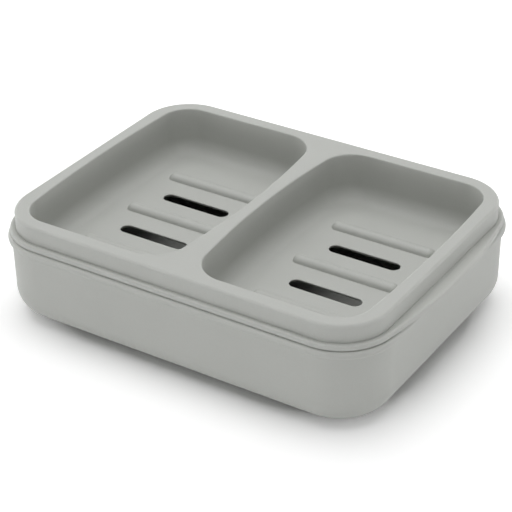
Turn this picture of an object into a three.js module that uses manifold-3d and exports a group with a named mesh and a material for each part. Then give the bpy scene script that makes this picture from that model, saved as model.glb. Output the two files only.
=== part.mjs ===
// Double soap dish: a drip pan on four non-slip pads, and a lift-out tray with two soap wells.
// Millimetres, +Z up. The origin is on the counter under the middle of the dish, +X runs along
// the dish and the front faces -Y.

import * as THREE from 'three';
import Module from 'manifold-3d';

const wasm = await Module();
wasm.setup();

// The deck's outline. The pan and the flange follow it, so their sizes are distances from it.
const DECK_LENGTH = 146.4;
const DECK_DEPTH = 110.6;
const DECK_CORNER = 18;

// Tray: deck, skirt and the flange that rests on the pan's rim
const TRAY_RISE = 8.5; // rim to deck
const TRAY_WALL = 1.6;
const DECK_ROUND = 1.1;
const FLANGE_OUT = 2; // reach beyond the deck's outline
const FLANGE_THICK = 2.4;
const FLANGE_ROUND = 1.4;
const SEAM_GAP = 0.3; // the step under the flange's edge that shows as a dark line
const SEAM_DEPTH = 0.6;
const GRIP_LENGTH = 78; // at each end the flange bulges, so that fingers can lift the tray
const GRIP_BULGE = 3.45;
const SPIGOT_WALL = 1.2; // the ring under the flange that centres the tray in the pan
const SPIGOT_DEPTH = 2.5;
const SPIGOT_CLEARANCE = 0.4;

// Wells: the sides that face the divider and the dish's ends bow outwards
const END_RIM = 4.75; // deck edge to a well, at each end
const SIDE_RIM = 5.3; // deck edge to a well, front and back
const DIVIDER = 4.5; // between the wells, where it is narrowest
const WELL_DEPTH = 18.4;
const WELL_ROUND = 6.4; // between wall and floor
const WELL_EDGE_ROUND = 0.5;
const WELL_DRAFT = 1; // degrees
const INNER_BOW = 3.9; // rise of the divider side's arc
const OUTER_BOW = 2.1; // rise of the end side's arc
const INNER_CORNER = 12.4;
const OUTER_CORNER = 11.2;

// Drain: slots in each well's floor, with ribs between and beyond them that carry the soap
const DRAIN_PITCH = 27;
const DRAIN_SHIFT = 0.4; // of each well's slots and ribs towards the dish's end
const SLOT_COUNT = 2;
const SLOT_LENGTH = 28;
const SLOT_WIDTH = 5.1;
const SLOT_EDGE = 0.5; // thickness of the floor at a slot, which flares downwards at 45 degrees
const RIB_LENGTH = 41.4;
const RIB_WIDTH = 5;
const RIB_HEIGHT = 2.2;
const RIB_CROWN = 80; // degrees up the rib's ellipse, where its flat top starts

// Pan
const PAN_HEIGHT = 30.8; // underside to rim
const PAN_WALL = 2;
const PAN_FLOOR = 2.2;
const PAN_OUT = 1.65; // wall beyond the deck's outline, just under the lip
const PAN_DRAFT = 0.6; // degrees
const PAN_ROUND = 9.6; // between wall and underside
const LIP_OUT = 2.9; // reach beyond the deck's outline
const LIP_BULGE_DROP = 1.7; // rim to the lip's widest line
const LIP_FOOT_ROUND = 1.1;

// Pads, glued into shallow recesses in the pan's underside
const PAD_RADIUS = 6;
const PAD_THICK = 1.6;
const PAD_RECESS = 0.8;
const PAD_EDGE_ROUND = 0.3;
const PAD_CLEARANCE = 0.3;
const PAD_MARGIN = 5; // recess to the edge of the flat underside

// How far a facet's middle may lie from the curve that it stands for
const FINENESS = 0.08;

// How far a cutting solid runs past the face it cuts, and a joined one into its neighbour
const PAST = 1;
const SINK = 0.5;

const PAN_Z = PAD_THICK - PAD_RECESS;
const RIM_Z = PAN_Z + PAN_HEIGHT;
const DECK_Z = RIM_Z + TRAY_RISE;
const WELL_FLOOR_Z = DECK_Z - WELL_DEPTH;
const WELL_LENGTH = DECK_DEPTH - 2 * SIDE_RIM;
const WELL_WIDTH = (DECK_LENGTH - 2 * END_RIM - DIVIDER) / 2;
const WELL_X = (DIVIDER + WELL_WIDTH) / 2;

const taper = (degrees, height) => Math.tan(THREE.MathUtils.degToRad(degrees)) * height;

// Angles along an arc, ends included, in steps that keep to the fineness. Degrees in, radians out.
function sweep(radius, from, to) {
  const turn = THREE.MathUtils.degToRad(to - from);
  const steps = Math.ceil(Math.abs(turn) / (2 * Math.acos(1 - FINENESS / radius)));
  const start = THREE.MathUtils.degToRad(from);
  return Array.from({ length: steps + 1 }, (_, i) => start + (turn * i) / steps);
}

// Points along an arc in plan, each with the outward direction there
function arc(centreX, centreY, radius, from, to) {
  return sweep(radius, from, to).map((angle) => {
    const out = new THREE.Vector2(Math.cos(angle), Math.sin(angle));
    return { at: out.clone().multiplyScalar(radius).add({ x: centreX, y: centreY }), out };
  });
}

function roundedRectangle(length, depth, corner) {
  const x = length / 2 - corner;
  const y = depth / 2 - corner;
  const centres = [[x, -y], [x, y], [-x, y], [-x, -y]];
  return centres.flatMap(([cx, cy], i) => arc(cx, cy, corner, 90 * (i - 1), 90 * i));
}

function stadium(length, width, centreX, centreY) {
  const radius = width / 2;
  const reach = length / 2 - radius;
  return [
    ...arc(centreX + reach, centreY, radius, -90, 90),
    ...arc(centreX - reach, centreY, radius, 90, 270),
  ];
}

const circle = (radius, centreX, centreY) => arc(centreX, centreY, radius, 0, 360).slice(1);

// One bowed side with its two corners, facing +X, for a well whose middle is the origin
function bowedSide(bow, corner) {
  const half = WELL_LENGTH / 2;
  const radius = (half * half + bow * bow) / (2 * bow);
  const bowX = WELL_WIDTH / 2 - radius;
  const cornerY = half - corner;
  const cornerX = bowX + Math.sqrt((radius - corner) ** 2 - cornerY ** 2);
  const swing = THREE.MathUtils.radToDeg(Math.asin(cornerY / (radius - corner)));
  return [
    ...arc(cornerX, -cornerY, corner, -90, -swing),
    ...arc(bowX, 0, radius, -swing, swing).slice(1, -1),
    ...arc(cornerX, cornerY, corner, swing, 90),
  ];
}

const turned = ({ at, out }) => ({ at: at.clone().negate(), out: out.clone().negate() });
const shifted = (x) => ({ at, out }) => ({ at: at.clone().add({ x, y: 0 }), out });

// A well's outline at the deck. The left well is the right one turned half round.
function wellOutline(side) {
  const endSide = bowedSide(OUTER_BOW, OUTER_CORNER);
  const dividerSide = bowedSide(INNER_BOW, INNER_CORNER).map(turned);
  const rightWell = [...endSide, ...dividerSide].map(shifted(WELL_X));
  return side > 0 ? rightWell : rightWell.map(turned);
}

// Profile points [distance beyond the outline, height] along a round edge
function bend(centreOut, centreZ, radiusOut, radiusZ, from, to) {
  return sweep(Math.max(radiusOut, radiusZ), from, to).map((angle) =>
    [centreOut + radiusOut * Math.cos(angle), centreZ + radiusZ * Math.sin(angle)]);
}

// A closed solid: the outline at each step of the profile, from the lowest step to the highest
function loft(outline, profile) {
  const count = outline.length;
  const ring = (out) => outline.map((point) => point.at.clone().addScaledVector(point.out, out));
  const rings = profile.map(([out]) => ring(out));
  const positions = rings.flatMap((points, i) => points.flatMap(({ x, y }) => [x, y, profile[i][1]]));
  const triangles = [];
  for (let level = 0; level < profile.length - 1; level++) {
    for (let i = 0; i < count; i++) {
      const here = level * count + i;
      const next = level * count + ((i + 1) % count);
      triangles.push(here, next, next + count, here, next + count, here + count);
    }
  }
  const top = (profile.length - 1) * count;
  for (const [a, b, c] of THREE.ShapeUtils.triangulateShape(rings[0], [])) triangles.push(a, c, b);
  for (const [a, b, c] of THREE.ShapeUtils.triangulateShape(rings.at(-1), [])) {
    triangles.push(top + a, top + b, top + c);
  }
  return new wasm.Manifold(new wasm.Mesh({
    numProp: 3,
    vertProperties: new Float32Array(positions),
    triVerts: new Uint32Array(triangles),
  }));
}

function named(name, solid, material) {
  const { vertProperties, triVerts } = solid.getMesh();
  const geometry = new THREE.BufferGeometry();
  geometry.setAttribute('position', new THREE.BufferAttribute(vertProperties, 3));
  geometry.setIndex(new THREE.BufferAttribute(triVerts, 1));
  geometry.computeVertexNormals();
  const mesh = new THREE.Mesh(geometry, material);
  mesh.name = name;
  return mesh;
}

const plastic = (color) => new THREE.MeshStandardMaterial({ color, roughness: 0.55, metalness: 0 });
const rubber = (color) => new THREE.MeshStandardMaterial({ color, roughness: 0.9, metalness: 0 });

const deckOutline = roundedRectangle(DECK_LENGTH, DECK_DEPTH, DECK_CORNER);

// Deck, skirt and flange as one thin shell, open below
function trayShell() {
  const flangeTop = RIM_Z + FLANGE_THICK;
  const skin = loft(deckOutline, [
    [FLANGE_OUT - SEAM_DEPTH, RIM_Z],
    [FLANGE_OUT - SEAM_DEPTH, RIM_Z + SEAM_GAP],
    [FLANGE_OUT, RIM_Z + SEAM_GAP],
    ...bend(FLANGE_OUT - FLANGE_ROUND, flangeTop - FLANGE_ROUND, FLANGE_ROUND, FLANGE_ROUND, 0, 90),
    [0, flangeTop],
    ...bend(-DECK_ROUND, DECK_Z - DECK_ROUND, DECK_ROUND, DECK_ROUND, 0, 90),
  ]);
  const hollow = loft(deckOutline, [[-TRAY_WALL, RIM_Z - PAST], [-TRAY_WALL, DECK_Z - TRAY_WALL]]);
  return skin.subtract(hollow);
}

// A grip: an arc beyond the flange's edge, closed inside the skirt's wall
function grip(side) {
  const half = GRIP_LENGTH / 2;
  const radius = (half * half + GRIP_BULGE * GRIP_BULGE) / (2 * GRIP_BULGE);
  const tip = DECK_LENGTH / 2 + FLANGE_OUT + GRIP_BULGE;
  const swing = THREE.MathUtils.radToDeg(Math.asin(half / radius));
  const root = (y) => ({
    at: new THREE.Vector2(DECK_LENGTH / 2 - TRAY_WALL / 2, y),
    out: new THREE.Vector2(-1, 0),
  });
  const right = [root(-half), ...arc(tip - radius, 0, radius, -swing, swing), root(half)];
  return loft(side > 0 ? right : right.map(turned), [
    [0, RIM_Z + SEAM_GAP],
    ...bend(-FLANGE_ROUND, RIM_Z + FLANGE_THICK - FLANGE_ROUND, FLANGE_ROUND, FLANGE_ROUND, 0, 90),
  ]);
}

// The ring that drops inside the pan's rim
function spigot() {
  const out = PAN_OUT - PAN_WALL - SPIGOT_CLEARANCE;
  const foot = RIM_Z - SPIGOT_DEPTH;
  const outside = loft(deckOutline, [[out, foot], [out, RIM_Z + SINK]]);
  const inside = loft(deckOutline, [[out - SPIGOT_WALL, foot - PAST], [out - SPIGOT_WALL, RIM_Z + PAST]]);
  return outside.subtract(inside);
}

// A well's wall and rounded floor edge, let out by a wall's thickness for the cup around it
function wellProfile(wall) {
  const inset = -taper(WELL_DRAFT, WELL_DEPTH - WELL_ROUND);
  const round = WELL_ROUND + wall;
  return bend(inset - WELL_ROUND, WELL_FLOOR_Z + WELL_ROUND, round, round, -90, 0);
}

function cup(side) {
  return loft(wellOutline(side), [...wellProfile(TRAY_WALL), [TRAY_WALL, DECK_Z - TRAY_WALL / 2]]);
}

function wellCavity(side) {
  const edge = WELL_EDGE_ROUND;
  return loft(wellOutline(side), [
    ...wellProfile(0),
    ...bend(edge, DECK_Z - edge, edge, edge, 180, 90),
    [edge, DECK_Z + PAST],
  ]);
}

const drainX = (side) => side * (WELL_X + DRAIN_SHIFT);
const drainY = (index, count) => (index - (count - 1) / 2) * DRAIN_PITCH;

function rib(side, y) {
  const foot = [0, WELL_FLOOR_Z - SINK];
  const crown = bend(-RIB_WIDTH / 2, WELL_FLOOR_Z, RIB_WIDTH / 2, RIB_HEIGHT, 0, RIB_CROWN);
  return loft(stadium(RIB_LENGTH, RIB_WIDTH, drainX(side), y), [foot, ...crown]);
}

function slot(side, y) {
  const flare = TRAY_WALL - SLOT_EDGE + PAST;
  return loft(stadium(SLOT_LENGTH, SLOT_WIDTH, drainX(side), y), [
    [flare, WELL_FLOOR_Z - SLOT_EDGE - flare],
    [0, WELL_FLOOR_Z - SLOT_EDGE],
    [0, WELL_FLOOR_Z + PAST],
  ]);
}

function soapTray() {
  let tray = trayShell().add(spigot());
  for (const side of [-1, 1]) {
    tray = tray.add(grip(side)).add(cup(side)).subtract(wellCavity(side));
    for (let i = 0; i < SLOT_COUNT; i++) tray = tray.subtract(slot(side, drainY(i, SLOT_COUNT)));
    for (let i = 0; i <= SLOT_COUNT; i++) tray = tray.add(rib(side, drainY(i, SLOT_COUNT + 1)));
  }
  return named('soap_tray', tray, plastic(0xb3b6af));
}

// The pan's lip hangs from the rim: it bulges below the rim and turns back to the wall
const lipFootZ = RIM_Z - LIP_BULGE_DROP - LIP_FOOT_ROUND;
const panFootOut = PAN_OUT - taper(PAN_DRAFT, lipFootZ - PAN_Z - PAN_ROUND);
const padX = DECK_LENGTH / 2 + panFootOut - PAN_ROUND - PAD_MARGIN - PAD_RADIUS;
const padY = DECK_DEPTH / 2 + panFootOut - PAN_ROUND - PAD_MARGIN - PAD_RADIUS;

function basePan() {
  const bulge = LIP_OUT - PAN_OUT;
  const bulgeZ = RIM_Z - LIP_BULGE_DROP;
  const footRound = LIP_FOOT_ROUND;
  const outside = loft(deckOutline, [
    ...bend(panFootOut - PAN_ROUND, PAN_Z + PAN_ROUND, PAN_ROUND, PAN_ROUND, -90, 0),
    [PAN_OUT, lipFootZ],
    ...bend(LIP_OUT - footRound, bulgeZ, footRound, footRound, -90, 0),
    ...bend(PAN_OUT, bulgeZ, bulge, LIP_BULGE_DROP, 0, 90).slice(1),
  ]);
  const innerRound = PAN_ROUND - PAN_WALL;
  const floorZ = PAN_Z + PAN_FLOOR;
  const inside = loft(deckOutline, [
    ...bend(panFootOut - PAN_ROUND, floorZ + innerRound, innerRound, innerRound, -90, 0),
    [PAN_OUT - PAN_WALL, RIM_Z],
    [PAN_OUT - PAN_WALL, RIM_Z + PAST],
  ]);
  let pan = outside.subtract(inside);
  for (const [x, y] of [[-padX, -padY], [padX, -padY], [-padX, padY], [padX, padY]]) {
    const recess = circle(PAD_RADIUS + PAD_CLEARANCE, x, y);
    pan = pan.subtract(loft(recess, [[0, PAN_Z - PAST], [0, PAD_THICK]]));
  }
  return named('base_pan', pan, plastic(0xa6aaa2));
}

function pad(name, x, y) {
  const edge = PAD_EDGE_ROUND;
  const disc = loft(circle(PAD_RADIUS, 0, 0), [[-edge, 0], [0, edge], [0, PAD_THICK]]);
  const mesh = named(name, disc, rubber(0x6f7370));
  mesh.position.set(x, y, 0);
  return mesh;
}

const dish = new THREE.Group();
dish.add(
  basePan(),
  pad('pad_front_left', -padX, -padY),
  pad('pad_front_right', padX, -padY),
  pad('pad_back_left', -padX, padY),
  pad('pad_back_right', padX, padY),
  soapTray(),
);

export default dish;
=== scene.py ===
# %% [markdown]
# A double soap dish. It is two plastic mouldings: a tray with two soap wells side by side, and a
# deep pan under it that catches the water. The pan stands on four rubber pads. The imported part
# already says where everything is, so it is loaded first, as a frame that nothing here moves. The
# script then builds finer pieces in the same places and hides the plain ones.

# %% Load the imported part
from math import acos, asin, atan2, ceil, cos, degrees, pi, radians, sin, sqrt, tan

import bmesh
import bpy
from mathutils import Matrix, Vector


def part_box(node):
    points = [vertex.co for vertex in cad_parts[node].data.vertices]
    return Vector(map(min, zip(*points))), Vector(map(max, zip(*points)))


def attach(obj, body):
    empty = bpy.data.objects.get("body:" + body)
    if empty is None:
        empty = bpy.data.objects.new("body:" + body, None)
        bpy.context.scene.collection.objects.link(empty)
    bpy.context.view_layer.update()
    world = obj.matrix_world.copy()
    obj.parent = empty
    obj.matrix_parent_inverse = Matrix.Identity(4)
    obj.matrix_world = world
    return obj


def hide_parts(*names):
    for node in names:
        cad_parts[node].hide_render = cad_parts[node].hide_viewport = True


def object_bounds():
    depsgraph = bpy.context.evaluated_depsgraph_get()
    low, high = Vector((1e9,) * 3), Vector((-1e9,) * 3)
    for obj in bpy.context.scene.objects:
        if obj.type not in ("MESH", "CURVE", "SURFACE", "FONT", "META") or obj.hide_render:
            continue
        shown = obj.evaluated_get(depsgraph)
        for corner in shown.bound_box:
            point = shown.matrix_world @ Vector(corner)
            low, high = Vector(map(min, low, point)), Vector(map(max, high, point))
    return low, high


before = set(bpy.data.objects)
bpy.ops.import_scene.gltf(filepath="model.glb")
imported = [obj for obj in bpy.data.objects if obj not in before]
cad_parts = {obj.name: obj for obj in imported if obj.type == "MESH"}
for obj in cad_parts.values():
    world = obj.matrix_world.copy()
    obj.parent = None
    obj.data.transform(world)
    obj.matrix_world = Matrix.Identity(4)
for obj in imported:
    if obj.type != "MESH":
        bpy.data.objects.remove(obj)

cad_low, cad_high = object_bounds()
print("packed part, mm:", [round(1000 * size, 2) for size in cad_high - cad_low])

# %% [markdown]
# Blender works in metres and a soap dish is a matter of millimetres, so sizes are written as a
# number times MM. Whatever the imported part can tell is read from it: the heights of the deck, the
# rim and the underside, and the outline of the deck. Both mouldings follow that outline, so most
# other sizes are distances from it.

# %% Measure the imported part
MM = 0.001
LIP_OUT = 2.9 * MM  # reach of the pan's lip beyond the deck's outline

tray_low, tray_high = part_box("soap_tray")
pan_low, pan_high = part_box("base_pan")
DECK_Z = tray_high.z
RIM_Z = pan_high.z
PAN_Z = pan_low.z
DECK_LENGTH = pan_high.x - pan_low.x - 2 * LIP_OUT
DECK_DEPTH = pan_high.y - pan_low.y - 2 * LIP_OUT
print(f"deck {DECK_LENGTH / MM:.1f} by {DECK_DEPTH / MM:.1f} mm, {DECK_Z / MM:.1f} mm up")

# %% [markdown]
# The camera stands to the right of the front and looks down at about 31 degrees. Its place comes
# from fitting the deck's edges, wells and slots to the picture. A camera looks along its own -Z
# axis, so its three axes are worked out from the two angles and become the columns of a matrix.
# The small roll is the tilt of the real camera.

# %% Camera
CAMERA_TARGET = Vector((19.34 * MM, -31.17 * MM, DECK_Z))
CAMERA_AZIMUTH = radians(32.83)
CAMERA_ELEVATION = radians(31.08)
CAMERA_ROLL = radians(-0.735)
CAMERA_DISTANCE = 566.7 * MM
CAMERA_LENS = 120.4
SENSOR_WIDTH = 36

level = cos(CAMERA_ELEVATION)
back = Vector((sin(CAMERA_AZIMUTH) * level, -cos(CAMERA_AZIMUTH) * level, sin(CAMERA_ELEVATION)))
right = Vector((cos(CAMERA_AZIMUTH), sin(CAMERA_AZIMUTH), 0))
up = back.cross(right)
rolled_right = cos(CAMERA_ROLL) * right + sin(CAMERA_ROLL) * up
rolled_up = cos(CAMERA_ROLL) * up - sin(CAMERA_ROLL) * right
axes = Matrix((rolled_right, rolled_up, back)).transposed().to_4x4()

camera = bpy.data.objects.new("camera", bpy.data.cameras.new("camera"))
camera.data.sensor_width = SENSOR_WIDTH
camera.data.lens = CAMERA_LENS
camera.matrix_world = Matrix.Translation(CAMERA_TARGET + CAMERA_DISTANCE * back) @ axes
bpy.context.scene.collection.objects.link(camera)
bpy.context.scene.camera = camera
print("camera at, mm:", [round(c / MM) for c in camera.matrix_world.translation])

# %% [markdown]
# Nodes make the shapes and the finishes, and adding them one by one takes many lines. Two small
# classes shorten that. A Wire is one output of a node, and arithmetic on wires adds Math nodes, so
# 1 - mask is a node too. A Tree adds any other node: its type, then its settings, then what goes
# into its sockets. The same two classes serve materials and shapes.

# %% Node helpers
class Wire:
    """A node's output. Arithmetic on it adds Math nodes to its tree."""

    def __init__(self, tree, socket):
        self.tree = tree
        self.socket = socket

    def math(self, operation, first, second):
        return self.tree.node("ShaderNodeMath", {"operation": operation}, {0: first, 1: second})

    def __add__(self, other):
        return self.math("ADD", self, other)

    def __radd__(self, other):
        return self.math("ADD", other, self)

    def __sub__(self, other):
        return self.math("SUBTRACT", self, other)

    def __rsub__(self, other):
        return self.math("SUBTRACT", other, self)

    def __mul__(self, other):
        return self.math("MULTIPLY", self, other)

    def __rmul__(self, other):
        return self.math("MULTIPLY", other, self)


class Tree:
    """A node tree. Each call of node() adds one node and gives one of its outputs as a wire."""

    def __init__(self, data):
        self.data = data

    def node(self, kind, settings=None, inputs=None, output=0):
        made = self.data.nodes.new(kind)
        for name, value in (settings or {}).items():
            setattr(made, name, value)
        for key, value in (inputs or {}).items():
            for item in value if isinstance(value, list) else [value]:
                self.feed(self.pick(made.inputs, key), item)
        return Wire(self, self.pick(made.outputs, output)) if len(made.outputs) else None

    def pick(self, sockets, key):
        shown = [socket for socket in sockets if socket.enabled]
        return shown[key] if isinstance(key, int) else next(s for s in shown if s.name == key)

    def feed(self, socket, item):
        if isinstance(item, Wire):
            self.data.links.new(item.socket, socket)
        else:
            socket.default_value = item


print("helpers ready:", Wire.__name__, Tree.__name__)

# %% [markdown]
# The stage is a white floor in a white surround. In the picture the deck is brightest, the outer
# walls are nearly as bright, and the walls inside the wells, which face the same way, are far
# darker. So the deck has most of its light from one soft lamp almost overhead, some comes evenly
# from the whole sky, and the outer walls have most of theirs from low down, where the rim keeps it
# out of the wells: the glow of white walls all round, somewhat stronger from behind and from the
# left. The surround shows plain white to the camera and in reflections. That needs the Light Path
# node, which knows what kind of ray asks.

# %% Surround and lamp
LAMP_SIZE = 1.3
LAMP_DISTANCE = 1.2
LAMP_AZIMUTH = radians(45)  # from straight behind the dish towards its left end
LAMP_ELEVATION = radians(80)
LAMP_WATTS = 11.1
SKY_LIGHT = 0.24
WALL_GLOW = 6
WALL_TOP = 0.16  # sine of the angle above the horizon where the glow ends
MORE_FROM_LEFT = 0.4
MORE_FROM_BACK = 0.4


def seen(tree):
    """1 for what the camera sees, directly, in a reflection or through something clear."""
    kinds = ["Is Camera Ray", "Is Glossy Ray", "Is Transmission Ray"]
    direct, glossy, clear = [tree.node("ShaderNodeLightPath", output=kind) for kind in kinds]
    return direct + glossy + clear


world = bpy.data.worlds.new("surround")
world.use_nodes = True
world.node_tree.nodes.clear()
sky = Tree(world.node_tree)
direction = sky.node("ShaderNodeTexCoord", output="Generated")
x, y, z = [
    sky.node("ShaderNodeSeparateXYZ", inputs={"Vector": direction}, output=axis) for axis in "XYZ"]
near_horizon = sky.node("ShaderNodeMapRange", inputs={
    "Value": z, "From Min": 0, "From Max": WALL_TOP, "To Min": 1, "To Max": 0})
walls = WALL_GLOW * near_horizon * (1 - MORE_FROM_LEFT * x + MORE_FROM_BACK * y)
white = seen(sky)
white_sky = sky.node("ShaderNodeBackground", inputs={
    "Color": (1, 1, 1, 1), "Strength": white + (1 - white) * (SKY_LIGHT + walls)})
sky.node("ShaderNodeOutputWorld", inputs={"Surface": white_sky})
bpy.context.scene.world = world
bpy.context.scene.view_settings.view_transform = "Standard"

lamp = bpy.data.objects.new("soft_lamp", bpy.data.lights.new("soft_lamp", "AREA"))
lamp.data.size = LAMP_SIZE
lamp.data.energy = LAMP_WATTS
level = cos(LAMP_ELEVATION)
towards = Vector((-sin(LAMP_AZIMUTH) * level, cos(LAMP_AZIMUTH) * level, sin(LAMP_ELEVATION)))
lamp.location = LAMP_DISTANCE * towards
lamp.rotation_euler = towards.to_track_quat("Z", "Y").to_euler()
lamp.visible_camera = False
bpy.context.scene.collection.objects.link(lamp)
print(f"lamp {LAMP_SIZE} m square, {LAMP_DISTANCE} m away, {LAMP_WATTS} W")

# %% [markdown]
# The floor is one large face. It is white and dull, and it has a little glow of its own that only
# the camera sees, so that it reads as white. Close to the dish the glow fades out, so that it
# doesn't wash out the cast shadow there, and the fade itself is a painted shadow round the dish. So
# the material measures how far a point lies from a rounded rectangle under the dish: mirror the
# point into one quarter, subtract the rectangle without its rounding, keep what is above zero, and
# the length of that less the rounding is the distance. From there the glow gains half of what it
# lacks with every few millimetres. Far away, where the lamp no longer reaches, it grows on, so that
# the floor stays white up to the horizon.

# %% Floor
FLOOR_SIZE = 6.0
FLOOR_WHITE = 0.93
FLOOR_GLOW = 0.32
GLOW_START = 5.5 * MM  # inside the dish's box
GLOW_CORNER = 40 * MM
GLOW_HALF = 4.9 * MM  # where half of the glow is reached
GLOW_DOUBLES = 1.0  # metres from the dish


def new_material(name):
    """An empty material and the tree of its nodes."""
    material = bpy.data.materials.new(name)
    material.use_nodes = True
    material.node_tree.nodes.clear()
    return material, Tree(material.node_tree)


floor_white, tree = new_material("floor_white")
inset = GLOW_START + GLOW_CORNER
core = (cad_high.x - inset, cad_high.y - inset, 0)
place = tree.node("ShaderNodeTexCoord", output="Object")
mirrored = tree.node("ShaderNodeVectorMath", {"operation": "ABSOLUTE"}, {0: place})
beyond = tree.node("ShaderNodeVectorMath", {"operation": "SUBTRACT"}, {0: mirrored, 1: core})
outside = tree.node("ShaderNodeVectorMath", {"operation": "MAXIMUM"}, {0: beyond, 1: (0, 0, 0)})
length = tree.node("ShaderNodeVectorMath", {"operation": "LENGTH"}, {0: outside}, output="Value")
away = length.math("MAXIMUM", length - GLOW_CORNER, 0)
# Painted shadow: the glow is missing close to the dish, so the floor there is darker than the lamps
# alone make it.
outside_painted_shadow = 1 - away.math("POWER", 0.5, away * (1 / GLOW_HALF))
glow = FLOOR_GLOW * outside_painted_shadow * (1 + away * (1 / GLOW_DOUBLES))
shader = tree.node("ShaderNodeBsdfPrincipled", inputs={
    "Base Color": (FLOOR_WHITE, FLOOR_WHITE, FLOOR_WHITE, 1),
    "Roughness": 1,
    "Specular IOR Level": 0,
    "Emission Color": glow * seen(tree),
    "Emission Strength": 1,
})
tree.node("ShaderNodeOutputMaterial", inputs={"Surface": shader})

half = FLOOR_SIZE / 2
floor_corners = [(-half, -half, 0), (half, -half, 0), (half, half, 0), (-half, half, 0)]
floor_mesh = bpy.data.meshes.new("floor")
floor_mesh.from_pydata(floor_corners, [], [(0, 1, 2, 3)])
floor_mesh.materials.append(floor_white)
floor = bpy.data.objects.new("floor", floor_mesh)
bpy.context.scene.collection.objects.link(floor)
print("floor", FLOOR_SIZE, "m square")

# %% [markdown]
# The mouldings are a pale grey plastic with a little green in it. It is matt: the mould was
# etched, which leaves a grain finer than a quarter of a millimetre. Up close the colour isn't
# perfectly even either, because pigment mixes unevenly, and handling polishes some places more
# than others. So the colour, the roughness and the bump each follow noise at a scale of their own.
# Object coordinates keep the pattern fixed to the piece.

# %% Sage plastic
SAGE_DARK = (0.475, 0.485, 0.459, 1)
SAGE_LIGHT = (0.521, 0.53, 0.504, 1)
SAGE_ROUGHNESS = 0.5
CLOUD_SCALE = 55  # patches about 20 mm across
FLECK_SCALE = 1800  # pigment flecks about half a millimetre across
GRAIN_SCALE = 4500  # etched grain, under a quarter of a millimetre
GRAIN_DEPTH = 0.012 * MM
CLOUD_TONE = 0.9  # how strongly the clouds and the flecks mix the two colours
FLECK_TONE = 0.7
CLOUD_ROUGHNESS = 0.12
GRAIN_ROUGHNESS = 0.08
FLECK_HEIGHT = 0.3  # next to the grain's height
SURFACE_IOR = 1.46  # about right for most plastics and for silicone


def noise(tree, scale, detail):
    """Soft 3-D noise about 0.5, fixed to the piece."""
    place = tree.node("ShaderNodeTexCoord", output="Object")
    return tree.node("ShaderNodeTexNoise", inputs={
        "Vector": place, "Scale": scale, "Detail": detail})


def finish_material(tree, colour, roughness, bump_height, bump_depth):
    """Ends a material's tree in one Principled shader."""
    bump = tree.node("ShaderNodeBump", inputs={
        "Height": bump_height, "Distance": bump_depth, "Strength": 1})
    shader = tree.node("ShaderNodeBsdfPrincipled", inputs={
        "Base Color": colour, "Roughness": roughness, "Normal": bump, "IOR": SURFACE_IOR})
    tree.node("ShaderNodeOutputMaterial", inputs={"Surface": shader})


sage_plastic, tree = new_material("sage_plastic")
clouds = noise(tree, CLOUD_SCALE, detail=3)
flecks = noise(tree, FLECK_SCALE, detail=2)
grain = noise(tree, GRAIN_SCALE, detail=2)
tone = 0.5 + CLOUD_TONE * (clouds - 0.5) + FLECK_TONE * (flecks - 0.5)
colour = tree.node("ShaderNodeMix", {"data_type": "RGBA"}, {
    "Factor": tone, "A": SAGE_DARK, "B": SAGE_LIGHT})
roughness = SAGE_ROUGHNESS + CLOUD_ROUGHNESS * (clouds - 0.5) + GRAIN_ROUGHNESS * (grain - 0.5)
finish_material(tree, colour, roughness, grain + FLECK_HEIGHT * flecks, GRAIN_DEPTH)
print("sage plastic:", len(tree.data.nodes), "nodes")

# %% [markdown]
# The pads are silicone rubber: darker, softer and duller than the plastic. Rubber has no gloss to
# speak of, picks up pale dust in its pores, and its surface is a little lumpy.

# %% Pad rubber
RUBBER = (0.15, 0.158, 0.15, 1)
DUST = (0.27, 0.272, 0.26, 1)
RUBBER_ROUGHNESS = 0.85
LUMP_SCALE = 700
PORE_SCALE = 3200
PORE_DEPTH = 0.03 * MM
DUST_FROM = 0.45  # pores above this hold dust
PORE_TONE = 1.6
LUMP_TONE = 0.6
LUMP_ROUGHNESS = 0.2

pad_rubber, tree = new_material("pad_rubber")
lumps = noise(tree, LUMP_SCALE, detail=3)
pores = noise(tree, PORE_SCALE, detail=3)
tone = PORE_TONE * (pores - DUST_FROM) + LUMP_TONE * (lumps - 0.5)
colour = tree.node("ShaderNodeMix", {"data_type": "RGBA"}, {
    "Factor": tone, "A": RUBBER, "B": DUST})
roughness = RUBBER_ROUGHNESS + LUMP_ROUGHNESS * (lumps - 0.5)
finish_material(tree, colour, roughness, pores + lumps, PORE_DEPTH)
print("pad rubber:", len(tree.data.nodes), "nodes")

# %% [markdown]
# Both mouldings follow one rule: a profile is carried round an outline, and flat faces close what
# stays open. A profile is drawn as corners, each with its own radius, the way a toolmaker would
# dimension it. Rounding the corners here keeps the curves true: each arc gets as many points as it
# needs to stay within a few thousandths of a millimetre.

# %% Drawing lines
FINENESS = 0.004 * MM  # how far a facet's middle may lie from the true curve
WELD = MM / 1000  # points closer than this become one
DECK_CORNER = 18 * MM


def arc(x, y, radius, start, end):
    """Points along an arc, ends included. The angles are in degrees."""
    turn = radians(end - start)
    steps = ceil(abs(turn) / (2 * acos(1 - FINENESS / radius)))
    angles = [radians(start) + turn * i / steps for i in range(steps + 1)]
    return [(x + radius * cos(angle), y + radius * sin(angle)) for angle in angles]


def rounded_corner(before, corner, after, radius):
    """The arc that rounds a corner between its two neighbours."""
    there = (before - corner).normalized()
    onward = (after - corner).normalized()
    half_angle = there.angle(onward) / 2
    middle = corner + (there + onward).normalized() * radius / sin(half_angle)
    start = corner + there * radius / tan(half_angle) - middle
    end = corner + onward * radius / tan(half_angle) - middle
    start_angle = degrees(atan2(start.y, start.x))
    turn = (degrees(atan2(end.y, end.x)) - start_angle + 180) % 360 - 180
    return arc(*middle, radius, start_angle, start_angle + turn)


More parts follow.
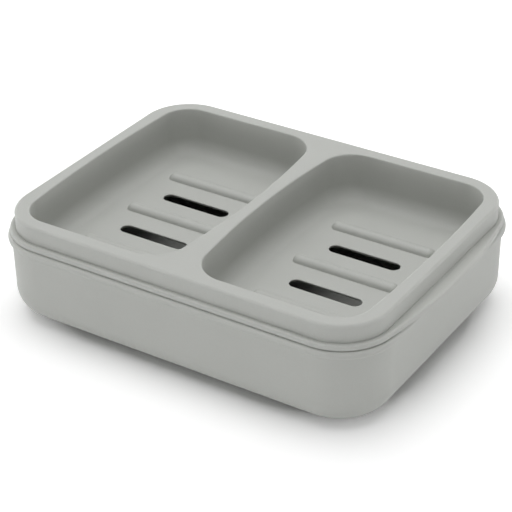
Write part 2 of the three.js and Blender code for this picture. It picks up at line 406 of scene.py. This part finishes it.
def rounded(corners):
    """A line through corners (x, y, radius). A radius of 0 keeps the corner sharp."""
    spots = [Vector(corner[:2]) for corner in corners]
    points = []
    for i, (x, y, radius) in enumerate(corners):
        after = spots[(i + 1) % len(spots)]
        points += rounded_corner(spots[i - 1], spots[i], after, radius) if radius else [(x, y)]
    steps = [(Vector(p) - Vector(points[i - 1])).length for i, p in enumerate(points)]
    return [point for point, step in zip(points, steps) if step > WELD]


def rounded_rectangle(length, depth, radius):
    x, y = length / 2, depth / 2
    return rounded([(x, -y, radius), (x, y, radius), (-x, y, radius), (-x, -y, radius)])


deck_outline = rounded_rectangle(DECK_LENGTH, DECK_DEPTH, DECK_CORNER)
print("deck outline:", len(deck_outline), "points")

# %% [markdown]
# Geometry Nodes carry the rule out. A Moulding is a tree whose sizes and drawings are named
# inputs. Curve to Mesh carries a profile round an outline: the profile's X becomes the distance
# beyond the outline, and its Y points down, so heights are drawn with their sign turned. A flat is
# made from the open edges at one height, which Fill Curve closes, holes and all.

# %% Moulding tree
class Moulding(Tree):
    """A geometry tree for one piece, with named inputs."""

    def __init__(self, name):
        super().__init__(bpy.data.node_groups.new(name, "GeometryNodeTree"))
        self.values = {}
        self.data.interface.new_socket("Mesh", in_out="OUTPUT", socket_type="NodeSocketGeometry")

    def input(self, name, kind, value):
        socket = self.data.interface.new_socket(
            name, in_out="INPUT", socket_type="NodeSocket" + kind)
        self.values[socket.identifier] = value
        return self.node("NodeGroupInput", output=name)

    def drawing(self, name, points, closed):
        """A named input that holds a line, as a curve."""
        curve = bpy.data.curves.new(name, "CURVE")
        curve.dimensions = "3D"
        line = curve.splines.new("POLY")
        line.points.add(len(points) - 1)
        for point, (x, y) in zip(line.points, points):
            point.co = (x, y, 0, 1)
        line.use_cyclic_u = closed
        drawn = self.input(name, "Object", bpy.data.objects.new(name, curve))
        return self.node("GeometryNodeObjectInfo", inputs={"Object": drawn}, output="Geometry")

    def outline(self, name, points):
        drawn = self.drawing(name, points, True)
        return self.node("GeometryNodeSetCurveNormal", {"mode": "Z_UP"}, {"Curve": drawn})

    def profile(self, name, corners):
        """A profile of corners (distance beyond the outline, height, radius)."""
        return self.drawing(name, [(out, -z) for out, z in rounded(corners)], False)


print("tree class ready:", Moulding.__name__)

# %% [markdown]
# These are the steps that a moulding is made of. Each one adds the few nodes that it takes. The
# open edges of a mesh are those with a single face beside them, which Edge Neighbors counts.

# %% Moulding steps
def sweep(tree, outline, profile):
    return tree.node("GeometryNodeCurveToMesh", inputs={"Curve": outline, "Profile Curve": profile})


def join(tree, parts):
    return tree.node("GeometryNodeJoinGeometry", inputs={"Geometry": parts})


def vector(tree, x=0, y=0, z=0):
    return tree.node("ShaderNodeCombineXYZ", inputs={"X": x, "Y": y, "Z": z})


def flat(tree, mesh, height, faces_down=False):
    """A flat face inside the open edges at a height."""
    place = tree.node("GeometryNodeInputPosition")
    z = tree.node("ShaderNodeSeparateXYZ", inputs={"Vector": place}, output="Z")
    at_height = tree.node("FunctionNodeCompare", {"operation": "EQUAL"}, {
        "A": z, "B": height, "Epsilon": WELD})
    beside = tree.node("GeometryNodeInputMeshEdgeNeighbors")
    is_open = tree.node("FunctionNodeCompare", {"data_type": "INT", "operation": "EQUAL"}, {
        "A": beside, "B": 1})
    chosen = tree.node("FunctionNodeBooleanMath", {"operation": "AND"}, {0: at_height, 1: is_open})
    edges = tree.node("GeometryNodeMeshToCurve", inputs={"Mesh": mesh, "Selection": chosen})
    face = tree.node("GeometryNodeFillCurve", inputs={"Curve": edges})
    rise = vector(tree, z=height)
    lifted = tree.node("GeometryNodeTransform", inputs={"Geometry": face, "Translation": rise})
    return tree.node("GeometryNodeFlipFaces", inputs={"Mesh": lifted}) if faces_down else lifted


def realize(tree, geometry):
    return tree.node("GeometryNodeRealizeInstances", inputs={"Geometry": geometry})


print("steps ready:", sweep.__name__, join.__name__, flat.__name__)

# %% [markdown]
# The last step is the same for every piece: make sure that no instance is left, weld the points
# that meet, and give the mesh its material. Then the tree runs once, its result becomes a plain
# mesh, and the modifier goes. A moulding that could really be made is closed, so the edges without
# exactly two faces are counted, and there should be none.

# %% Finish a piece
def finish_piece(tree, geometry, material, name):
    """Runs the tree and keeps its result as a plain mesh, smooth and closed."""
    whole = realize(tree, geometry)
    welded = tree.node("GeometryNodeMergeByDistance", inputs={"Geometry": whole, "Distance": WELD})
    finish = tree.input("Material", "Material", material)
    coloured = tree.node("GeometryNodeSetMaterial", inputs={"Geometry": welded, "Material": finish})
    tree.node("NodeGroupOutput", inputs={"Mesh": coloured})

    piece = bpy.data.objects.new(name, bpy.data.meshes.new(name))
    bpy.context.scene.collection.objects.link(piece)
    modifier = piece.modifiers.new(name, "NODES")
    modifier.node_group = tree.data
    for identifier, value in tree.values.items():
        modifier[identifier] = value
    evaluated = piece.evaluated_get(bpy.context.evaluated_depsgraph_get())
    mesh = bpy.data.meshes.new_from_object(evaluated)
    piece.modifiers.remove(modifier)
    piece.data = mesh
    mesh.shade_smooth()
    piece.modifiers.new("even shading", "WEIGHTED_NORMAL")

    check = bmesh.new()
    check.from_mesh(mesh)
    unclosed = sum(not edge.is_manifold for edge in check.edges)
    volume = check.calc_volume() / MM ** 3
    print(f"{name}: {len(mesh.polygons)} faces, {unclosed} open edges, {volume:.0f} mm3")
    check.free()
    return piece


print("ready:", finish_piece.__name__)

# %% [markdown]
# The pan is the deep lower moulding. Walk round its section with the air on the left: along the
# inner floor, up the inside of the wall, over the rim, down the lip and the outside, and under the
# rounded bottom edge. The wall leans by less than a degree so that the real moulding leaves its
# mould. Four shallow round recesses in the underside take the pads. Their places come from the
# packed pads.

# %% Pan
PAN_WALL = 2 * MM
PAN_FLOOR = 2.2 * MM
PAN_OUT = 1.65 * MM  # wall beyond the deck's outline, under the lip
PAN_DRAFT = radians(0.6)
PAN_ROUND = 9.6 * MM
LIP_ROUND = 1.45 * MM
LIP_DEPTH = 2.8 * MM
LIP_FOOT_ROUND = 1.1 * MM
LIP_INNER_ROUND = 0.2 * MM
EDGE_ROUND = 0.3 * MM  # of the edges that don't show
PAD_RADIUS = 6 * MM
PAD_CLEARANCE = 0.3 * MM

pad_boxes = [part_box(name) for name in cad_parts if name.startswith("pad_")]
pad_spots = [(low + high) / 2 for low, high in pad_boxes]
PAD_X = max(spot.x for spot in pad_spots)
PAD_Y = max(spot.y for spot in pad_spots)
PAD_TOP = max(high.z for low, high in pad_boxes)

lip_foot_z = RIM_Z - LIP_DEPTH
foot_out = PAN_OUT - tan(PAN_DRAFT) * (lip_foot_z - PAN_Z)
inner_floor_z = PAN_Z + PAN_FLOOR
flat_edge = foot_out - PAN_ROUND
pan_corners = [
    (flat_edge, inner_floor_z, 0),
    (foot_out - PAN_WALL, inner_floor_z, PAN_ROUND - PAN_WALL),
    (PAN_OUT - PAN_WALL, RIM_Z, EDGE_ROUND),
    (LIP_OUT, RIM_Z, LIP_ROUND),
    (LIP_OUT, lip_foot_z, LIP_FOOT_ROUND),
    (PAN_OUT, lip_foot_z, LIP_INNER_ROUND),
    (foot_out, PAN_Z, PAN_ROUND),
    (flat_edge, PAN_Z, 0),
]
recess_corners = [
    (EDGE_ROUND, PAN_Z, 0),
    (0, PAN_Z, EDGE_ROUND),
    (0, PAD_TOP, EDGE_ROUND),
    (-EDGE_ROUND, PAD_TOP, 0),
]
print(f"pan wall leans {(PAN_OUT - foot_out) / MM:.2f} mm")
print(f"pads {PAD_X / MM:.1f} and {PAD_Y / MM:.1f} mm from the middle")

# %% [markdown]
# The four recesses stand at the corners of a rectangle, so one recess is copied to the four points
# of a two-by-two grid. The flats are the inner floor, the underside with its four holes, and the
# recesses' ceilings.

# %% Build the pan
def at_four_corners(tree, part, length, depth):
    """A copy of a part at each corner of a rectangle."""
    grid = tree.node("GeometryNodeMeshGrid", inputs={
        "Size X": length, "Size Y": depth, "Vertices X": 2, "Vertices Y": 2})
    return tree.node("GeometryNodeInstanceOnPoints", inputs={"Points": grid, "Instance": part})


pan_tree = Moulding("pan")
pads_apart = pan_tree.input("Pads apart along", "Float", 2 * PAD_X)
pads_across = pan_tree.input("Pads apart across", "Float", 2 * PAD_Y)
floor_height = pan_tree.input("Inner floor height", "Float", inner_floor_z)
underside_height = pan_tree.input("Underside height", "Float", PAN_Z)
recess_height = pan_tree.input("Recess height", "Float", PAD_TOP)

deck_line = pan_tree.outline("Deck outline", deck_outline)
wall = sweep(pan_tree, deck_line, pan_tree.profile("Pan profile", pan_corners))
recess_radius = PAD_RADIUS + PAD_CLEARANCE
recess_line = pan_tree.outline("Recess outline", arc(0, 0, recess_radius, 0, 360)[1:])
recess = sweep(pan_tree, recess_line, pan_tree.profile("Recess profile", recess_corners))
recesses = at_four_corners(pan_tree, recess, pads_apart, pads_across)
shell = realize(pan_tree, join(pan_tree, [wall, recesses]))
pan_flats = [
    flat(pan_tree, shell, floor_height),
    flat(pan_tree, shell, underside_height, faces_down=True),
    flat(pan_tree, shell, recess_height, faces_down=True),
]
pan = finish_piece(pan_tree, join(pan_tree, [shell, *pan_flats]), sage_plastic, "moulded_pan")

# %% [markdown]
# The pads are discs with softened edges, glued into the recesses. A pad is a short profile carried
# round a circle, and it too is copied to the four corners.

# %% Pads
PAD_TOP_ROUND = 0.2 * MM
PAD_FOOT_ROUND = 0.5 * MM
PAD_FLAT_EDGE = -0.9 * MM

pad_tree = Moulding("pads")
pads_apart = pad_tree.input("Pads apart along", "Float", 2 * PAD_X)
pads_across = pad_tree.input("Pads apart across", "Float", 2 * PAD_Y)
pad_height = pad_tree.input("Pad height", "Float", PAD_TOP)
pad_line = pad_tree.outline("Pad outline", arc(0, 0, PAD_RADIUS, 0, 360)[1:])
pad_profile = pad_tree.profile("Pad profile", [
    (PAD_FLAT_EDGE, PAD_TOP, 0),
    (0, PAD_TOP, PAD_TOP_ROUND),
    (0, 0, PAD_FOOT_ROUND),
    (PAD_FLAT_EDGE, 0, 0),
])
pad_side = sweep(pad_tree, pad_line, pad_profile)
pad_flats = [flat(pad_tree, pad_side, pad_height), flat(pad_tree, pad_side, 0, faces_down=True)]
pad = join(pad_tree, [pad_side, *pad_flats])
pads = finish_piece(
    pad_tree, at_four_corners(pad_tree, pad, pads_apart, pads_across), pad_rubber, "rubber_pads")

# %% [markdown]
# The tray's skin runs from the deck's edge down the skirt, out over the flange that rests on the
# pan's rim, and down a thin ring that centres the tray in the pan. The flange falls a little
# towards the skirt, a gutter that keeps drips off the outside, and meets it in a crisp corner that
# shows as a dark line. Under the flange's edge is a small step, the shadow gap that product
# designers put where two mouldings meet: a clean dark line looks better than a joint that never
# quite closes. The section is walked the same way as the pan's, with the air on the left, and ends
# under the deck.

# %% Tray skin
TRAY_WALL = 1.6 * MM
DECK_ROUND = 1.1 * MM
FLANGE_OUT = 2 * MM
FLANGE_THICK = 2.4 * MM
FLANGE_ROUND = 0.8 * MM
GUTTER_DEPTH = 0.45 * MM
SEAM_GAP = 0.36 * MM
SEAM_DEPTH = 0.6 * MM
CRISP_ROUND = 0.06 * MM  # of corners that look sharp
RING_CLEARANCE = 0.4 * MM
RING_WALL = 1.2 * MM
RING_DEPTH = 2.5 * MM
FLAT_STRIP = 0.3 * MM  # a level margin between a bend and the flat beside it

flange_z = RIM_Z + FLANGE_THICK
seam_z = RIM_Z + SEAM_GAP
seam_out = FLANGE_OUT - SEAM_DEPTH
ring_z = RIM_Z - RING_DEPTH
under_deck_z = DECK_Z - TRAY_WALL
ring_out = PAN_OUT - PAN_WALL - RING_CLEARANCE
ring_in = ring_out - RING_WALL
skin_corners = [
    (-DECK_ROUND - FLAT_STRIP, DECK_Z, 0),
    (0, DECK_Z, DECK_ROUND),
    (0, flange_z - GUTTER_DEPTH, CRISP_ROUND),
    (FLANGE_OUT, flange_z, FLANGE_ROUND),
    (FLANGE_OUT, seam_z, CRISP_ROUND),
    (seam_out, seam_z, CRISP_ROUND),
    (seam_out, RIM_Z, CRISP_ROUND),
    (ring_out, RIM_Z, EDGE_ROUND / 2),
    (ring_out, ring_z, EDGE_ROUND),
    (ring_in, ring_z, EDGE_ROUND),
    (ring_in, RIM_Z, EDGE_ROUND),
    (-TRAY_WALL, RIM_Z + RING_WALL, EDGE_ROUND),
    (-TRAY_WALL, under_deck_z, EDGE_ROUND),
    (-TRAY_WALL - EDGE_ROUND, under_deck_z, 0),
]
print(f"skirt {(DECK_Z - flange_z) / MM:.1f} mm high, deck {TRAY_WALL / MM:.1f} mm thick")

# %% [markdown]
# At each end of the dish the flange bulges into a grip, so that fingers can lift the tray. In the
# picture the flange's bright edge swings out in a shallow bow at the right-hand end and hides the
# dark line there. The other end is out of sight, and a grip on it is the natural guess. A bow this
# shallow is as good as a parabola: full in the middle, gone where the grip ends. So the points
# that the sweep has made along the flange only need to move outwards. The straight ends of the
# outline have no points between their corners, so the tray's outline gets some. How far a grip
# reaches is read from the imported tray.

# %% End grips
GRIP_LENGTH = 78 * MM
GRIP_STEP = 2.5 * MM
GRIP_FROM = 0.3 * MM  # farther out than this, a point belongs to the flange
GRIP_BULGE = tray_high.x - DECK_LENGTH / 2 - FLANGE_OUT


def divided(points, step):
    """The same closed line, with points along its straights no farther apart than a step."""
    finer = []
    for here, there in zip(points, points[1:] + points[:1]):
        start, end = Vector(here), Vector(there)
        count = ceil((end - start).length / step)
        finer += [tuple(start.lerp(end, i / count)) for i in range(count)]
    return finer


def add_grips(tree, skin, length, bulge):
    """Moves the flange outwards along both ends of the dish."""
    place = tree.node("GeometryNodeInputPosition")
    x, y, z = [
        tree.node("ShaderNodeSeparateXYZ", inputs={"Vector": place}, output=axis) for axis in "XYZ"]
    side = tree.node("ShaderNodeMath", {"operation": "SIGN"}, {0: x})
    beyond_skirt = tree.node("FunctionNodeCompare", {"operation": "GREATER_THAN"}, {
        "A": side * x, "B": DECK_LENGTH / 2 + GRIP_FROM})
    above_step = tree.node("FunctionNodeCompare", {"operation": "GREATER_THAN"}, {
        "A": z, "B": seam_z + WELD})
    chosen = tree.node("FunctionNodeBooleanMath", {"operation": "AND"}, {
        0: beyond_skirt, 1: above_step})
    along = y.math("DIVIDE", y, 0.5 * length)
    fullness = 1 - along * along
    outwards = side * bulge * fullness.math("MAXIMUM", fullness, 0)
    return tree.node("GeometryNodeSetPosition", inputs={
        "Geometry": skin, "Selection": chosen, "Offset": vector(tree, outwards)})


tray_outline = divided(deck_outline, GRIP_STEP)
print(f"grips reach {GRIP_BULGE / MM:.2f} mm past the flange")
print("tray outline:", len(tray_outline), "points")

# %% [markdown]
# Each well is a little fuller than a rectangle: the side towards the divider and the side towards
# the end of the dish bow outwards. A bow is an arc through the middle of the side, and each corner
# is an arc that touches the bow and the straight front or back. The circle that gives a bow of
# height b over a half-length h has the radius (h * h + b * b) / (2 * b).

# %% Well outline
END_RIM = 4.75 * MM
SIDE_RIM = 5.3 * MM
DIVIDER = 4.5 * MM
DIVIDER_BOW = 3.9 * MM
END_BOW = 2.1 * MM
DIVIDER_CORNER = 12.4 * MM
END_CORNER = 11.2 * MM
WELL_LENGTH = DECK_DEPTH - 2 * SIDE_RIM
WELL_WIDTH = (DECK_LENGTH - 2 * END_RIM - DIVIDER) / 2
WELL_X = (WELL_WIDTH + DIVIDER) / 2


def bowed_side(bow, corner):
    """A bowed side of a well with its two corners, facing +X."""
    half_length = WELL_LENGTH / 2
    radius = (half_length ** 2 + bow ** 2) / (2 * bow)
    bow_x = WELL_WIDTH / 2 - radius
    corner_y = half_length - corner
    corner_x = bow_x + sqrt((radius - corner) ** 2 - corner_y ** 2)
    swing = degrees(asin(corner_y / (radius - corner)))
    lower = arc(corner_x, -corner_y, corner, -90, -swing)
    middle = arc(bow_x, 0, radius, -swing, swing)
    return lower + middle[1:-1] + arc(corner_x, corner_y, corner, swing, 90)


end_side = bowed_side(END_BOW, END_CORNER)
divider_side = [(-x, -y) for x, y in bowed_side(DIVIDER_BOW, DIVIDER_CORNER)]
well_outline = end_side + divider_side
print(f"well {WELL_LENGTH / MM:.0f} by {WELL_WIDTH / MM:.1f} mm")
print("well outline:", len(well_outline), "points")

# %% [markdown]
# A well's wall curves into its floor. The cup is the same wall seen from under the tray, let out
# by the wall's thickness. The drain slots go through the floor. Seen from above their edges are
# thin, so the openings flare on the way down, which also lets water fall away instead of clinging.

# %% Well profiles
WELL_ROUND = 6.4 * MM
WELL_EDGE_ROUND = 0.5 * MM
WELL_DRAFT = radians(1)
SLOT_LENGTH = 28 * MM
SLOT_WIDTH = 5.1 * MM
SLOT_EDGE = 0.5 * MM  # thickness of a slot's edge
SLOT_EDGE_ROUND = 0.25 * MM
CUP_FLOOR_Z = tray_low.z
WELL_FLOOR_Z = CUP_FLOOR_Z + TRAY_WALL
WELL_DEPTH = DECK_Z - WELL_FLOOR_Z

wall_foot = -tan(WELL_DRAFT) * WELL_DEPTH
slot_flare = TRAY_WALL - SLOT_EDGE
well_corners = [
    (wall_foot - WELL_ROUND - FLAT_STRIP, WELL_FLOOR_Z, 0),
    (wall_foot, WELL_FLOOR_Z, WELL_ROUND),
    (0, DECK_Z, WELL_EDGE_ROUND),
    (WELL_EDGE_ROUND + FLAT_STRIP, DECK_Z, 0),
]
cup_corners = [
    (TRAY_WALL + EDGE_ROUND, under_deck_z, 0),
    (TRAY_WALL, under_deck_z, EDGE_ROUND),
    (wall_foot + TRAY_WALL, CUP_FLOOR_Z, WELL_ROUND + TRAY_WALL),
    (wall_foot - WELL_ROUND, CUP_FLOOR_Z, 0),
]
slot_corners = [
    (slot_flare + FLAT_STRIP, CUP_FLOOR_Z, 0),
    (slot_flare, CUP_FLOOR_Z, EDGE_ROUND),
    (0, WELL_FLOOR_Z - SLOT_EDGE, SLOT_EDGE_ROUND),
    (0, WELL_FLOOR_Z, SLOT_EDGE_ROUND),
    (SLOT_EDGE_ROUND + FLAT_STRIP, WELL_FLOOR_Z, 0),
]
print(f"well {WELL_DEPTH / MM:.1f} mm deep, its floor {WELL_FLOOR_Z / MM:.1f} mm up")

# %% [markdown]
# The ribs carry the soap clear of the water: half-ellipses in section, with a small fillet where
# they meet the floor. The fillet has to touch both the ellipse and the floor. Where it does is
# found by halving: too high means a lower angle, too low means a higher one.

# %% Rib profile
RIB_LENGTH = 41.4 * MM
RIB_WIDTH = 5 * MM
RIB_HEIGHT = 2.2 * MM
RIB_FILLET = 0.3 * MM
RIB_TOP_ANGLE = 84  # the flat crown starts here
RIB_STEP = 4
STEEPEST_TOUCH = 45  # the fillet touches the ellipse lower than this
TOUCH_WITHIN = 0.01


def rib_point(angle):
    """A point of the rib's ellipse and the outward direction there. The angle is in degrees."""
    out, rise = cos(radians(angle)), sin(radians(angle))
    point = Vector((RIB_WIDTH / 2 * (out - 1), WELL_FLOOR_Z + RIB_HEIGHT * rise))
    return point, Vector((out / RIB_WIDTH, rise / (2 * RIB_HEIGHT))).normalized()


def fillet_above_floor(angle):
    """How far the fillet that touches the ellipse at an angle lies above the floor."""
    point, outward = rib_point(angle)
    return (point + RIB_FILLET * outward).y - RIB_FILLET - WELL_FLOOR_Z


low_angle, high_angle = 0, STEEPEST_TOUCH
while high_angle - low_angle > TOUCH_WITHIN:
    angle = (low_angle + high_angle) / 2
    if fillet_above_floor(angle) > 0:
        high_angle = angle
    else:
        low_angle = angle

touch, outward = rib_point(low_angle)
fillet_middle = touch + RIB_FILLET * outward
crown_angles = range(RIB_TOP_ANGLE, ceil(low_angle), -RIB_STEP)
crown = [tuple(rib_point(angle)[0]) for angle in crown_angles]
fillet = arc(*fillet_middle, RIB_FILLET, degrees(atan2(-outward.y, -outward.x)), -90)
rib_foot = [(fillet_middle.x, WELL_FLOOR_Z), (fillet_middle.x + FLAT_STRIP, WELL_FLOOR_Z)]
rib_line = crown + fillet[:-1] + rib_foot
print(f"rib fillet starts {low_angle:.1f} degrees up, profile of {len(rib_line)} points")

# %% [markdown]
# Now the tree for the tray. Its heights, counts and pitches are inputs, so a third slot is one
# number away.

# %% Tray inputs
DRAIN_PITCH = 27 * MM
DRAIN_SHIFT = 0.4 * MM
SLOT_COUNT = 2
RIB_COUNT = 3

tray_tree = Moulding("tray")
deck_height = tray_tree.input("Deck height", "Float", DECK_Z)
under_deck_height = tray_tree.input("Height under the deck", "Float", under_deck_z)
well_floor_height = tray_tree.input("Well floor height", "Float", WELL_FLOOR_Z)
cup_floor_height = tray_tree.input("Cup floor height", "Float", CUP_FLOOR_Z)
rib_top_height = tray_tree.input("Rib top height", "Float", rib_line[0][1])
wells_apart = tray_tree.input("Wells apart", "Float", 2 * WELL_X)
drain_pitch = tray_tree.input("Drain pitch", "Float", DRAIN_PITCH)
drain_shift = tray_tree.input("Drain shift", "Float", DRAIN_SHIFT)
slot_count = tray_tree.input("Slots in a well", "Int", SLOT_COUNT)
rib_count = tray_tree.input("Ribs in a well", "Int", RIB_COUNT)
grip_length = tray_tree.input("Grip length", "Float", GRIP_LENGTH)
grip_bulge = tray_tree.input("Grip bulge", "Float", GRIP_BULGE)
print("tray tree:", len(tray_tree.values), "inputs so far")

# %% [markdown]
# Slots and ribs stand in rows across a well, and the wells are a pair. Either way a line of points
# is made and a part is set on each. The left well is the right one turned half round: its front
# and back are alike, so that makes the two wells mirror each other, as they do on the real dish.

# %% Rows and pairs
def row(tree, part, count):
    """Copies of a part in a row across the well, centred on the drain."""
    start = vector(tree, drain_shift, (1 - count) * drain_pitch * 0.5)
    line = tree.node("GeometryNodeMeshLine", inputs={
        "Count": count, "Start Location": start, "Offset": vector(tree, 0, drain_pitch)})
    return tree.node("GeometryNodeInstanceOnPoints", inputs={"Points": line, "Instance": part})


def pair(tree, well):
    """The well on the right, and turned half round on the left."""
    start = vector(tree, -0.5 * wells_apart)
    line = tree.node("GeometryNodeMeshLine", inputs={
        "Count": 2, "Start Location": start, "Offset": vector(tree, wells_apart)})
    turn = vector(tree, 0, 0, pi * (1 - tree.node("GeometryNodeInputIndex")))
    return tree.node("GeometryNodeInstanceOnPoints", inputs={
        "Points": line, "Instance": well, "Rotation": turn})


print("ready:", row.__name__, pair.__name__)

# %% [markdown]
# One well is built at the origin: wall, cup, a row of slots, a row of ribs, and the flats between
# them. The pair of wells then joins the skin with its grips, and the deck's top and underside close
# what is left.

# %% Build the tray
well_line = tray_tree.outline("Well outline", well_outline)
well_wall = sweep(tray_tree, well_line, tray_tree.profile("Well profile", well_corners))
cup = sweep(tray_tree, well_line, tray_tree.profile("Cup profile", cup_corners))
slot_shape = rounded_rectangle(SLOT_LENGTH, SLOT_WIDTH, SLOT_WIDTH / 2)
slot_line = tray_tree.outline("Slot outline", slot_shape)
slot = sweep(tray_tree, slot_line, tray_tree.profile("Slot profile", slot_corners))
rib_shape = rounded_rectangle(RIB_LENGTH, RIB_WIDTH, RIB_WIDTH / 2)
rib_outline = tray_tree.outline("Rib outline", rib_shape)
rib_profile = tray_tree.drawing("Rib profile", [(out, -z) for out, z in rib_line], False)
rib = sweep(tray_tree, rib_outline, rib_profile)

parts = [well_wall, cup, row(tray_tree, slot, slot_count), row(tray_tree, rib, rib_count)]
well = realize(tray_tree, join(tray_tree, parts))
well_flats = [
    flat(tray_tree, well, well_floor_height),
    flat(tray_tree, well, rib_top_height),
    flat(tray_tree, well, cup_floor_height, faces_down=True),
]
wells = pair(tray_tree, join(tray_tree, [well, *well_flats]))
deck_line = tray_tree.outline("Deck outline", tray_outline)
skin = sweep(tray_tree, deck_line, tray_tree.profile("Skin profile", skin_corners))
gripped_skin = add_grips(tray_tree, skin, grip_length, grip_bulge)
shell = realize(tray_tree, join(tray_tree, [gripped_skin, wells]))
deck_flats = [
    flat(tray_tree, shell, deck_height),
    flat(tray_tree, shell, under_deck_height, faces_down=True),
]
tray = finish_piece(tray_tree, join(tray_tree, [shell, *deck_flats]), sage_plastic, "moulded_tray")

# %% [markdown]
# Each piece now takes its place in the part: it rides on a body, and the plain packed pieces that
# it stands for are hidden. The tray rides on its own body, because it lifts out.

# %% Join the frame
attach(pan, "base")
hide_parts("base_pan")

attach(pads, "base")
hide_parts(*[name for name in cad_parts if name.startswith("pad_")])

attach(tray, "tray")
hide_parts("soap_tray")
